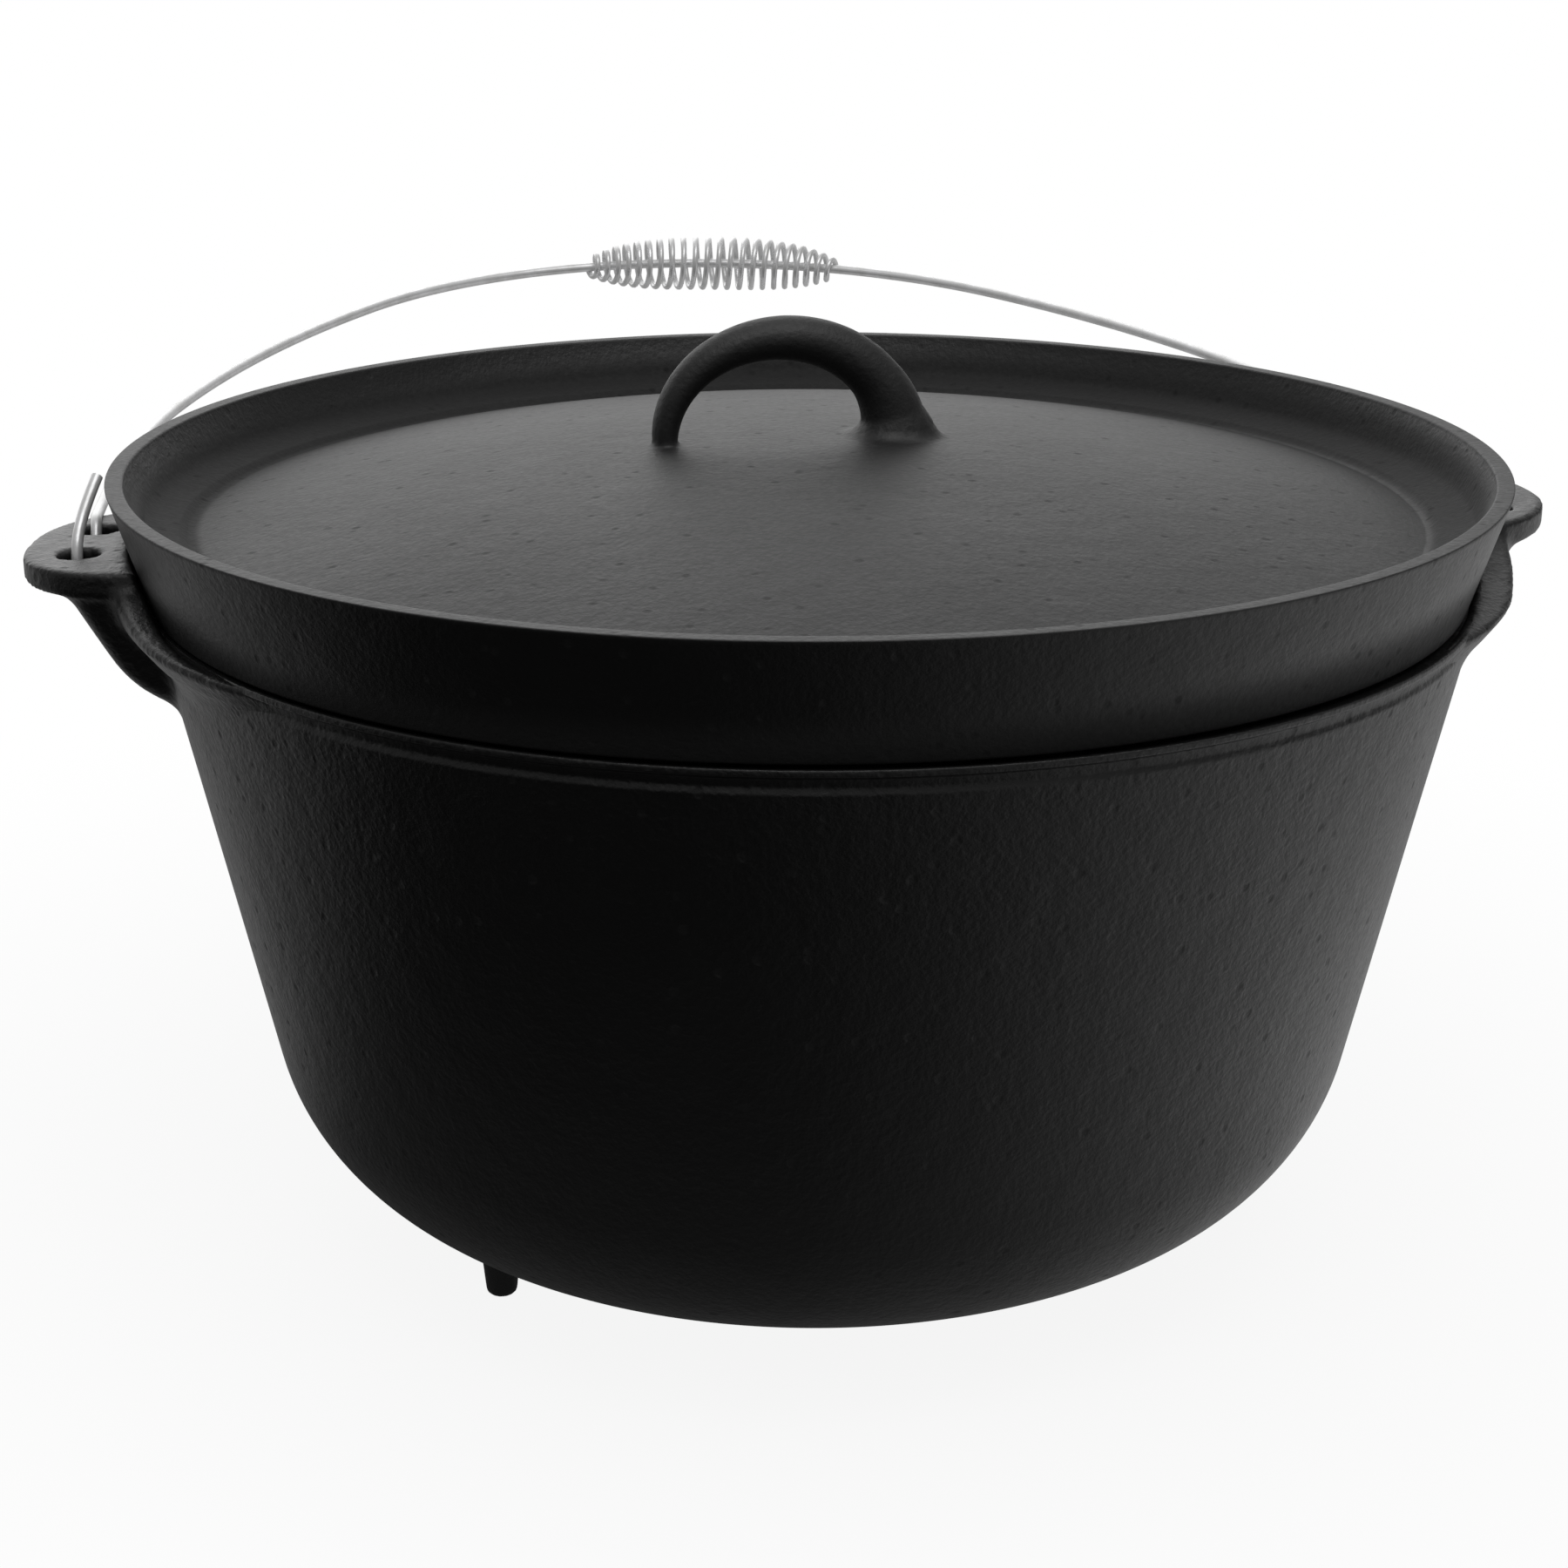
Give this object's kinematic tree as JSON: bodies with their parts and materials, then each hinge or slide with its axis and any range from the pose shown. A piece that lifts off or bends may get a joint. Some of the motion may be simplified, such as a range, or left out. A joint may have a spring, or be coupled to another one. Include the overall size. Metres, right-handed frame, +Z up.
{
  "type": "camp dutch oven",
  "caption": "Cast-iron camp dutch oven on stub legs, with a flanged domed lid that lifts off and a wire bail with a coil grip that swings up for carrying",
  "frame": {"origin": "on the standing surface, under the middle of the whole object's box with the bail lying back", "axes": "+Z up, X through the two ears, +Y to the side that the bail lies on"},
  "size_m": [0.4094, 0.4593, 0.2508],
  "materials": {
    "cast_iron": "matte sand-cast, seasoned black",
    "steel_wire": "satin zinc-plated wire",
    "spring_wire": "bright drawn spring wire"
  },
  "bodies": {
    "pot": {"pot": "cast_iron"},
    "lid": {"lid": "cast_iron"},
    "bail": {"bail": "steel_wire", "coil_grip": "spring_wire"}
  },
  "joints": [
    {"name": "lid_lift", "type": "slide", "parent": "pot", "child": "lid", "axis": [0, 0, 1], "range_m": [0, 0.29]},
    {"name": "bail_swing", "type": "hinge", "parent": "pot", "child": "bail", "pos_m": [0, -0.04838, 0.1932], "axis": [1, 0, 0], "range_deg": [0, 80]}
  ]
}
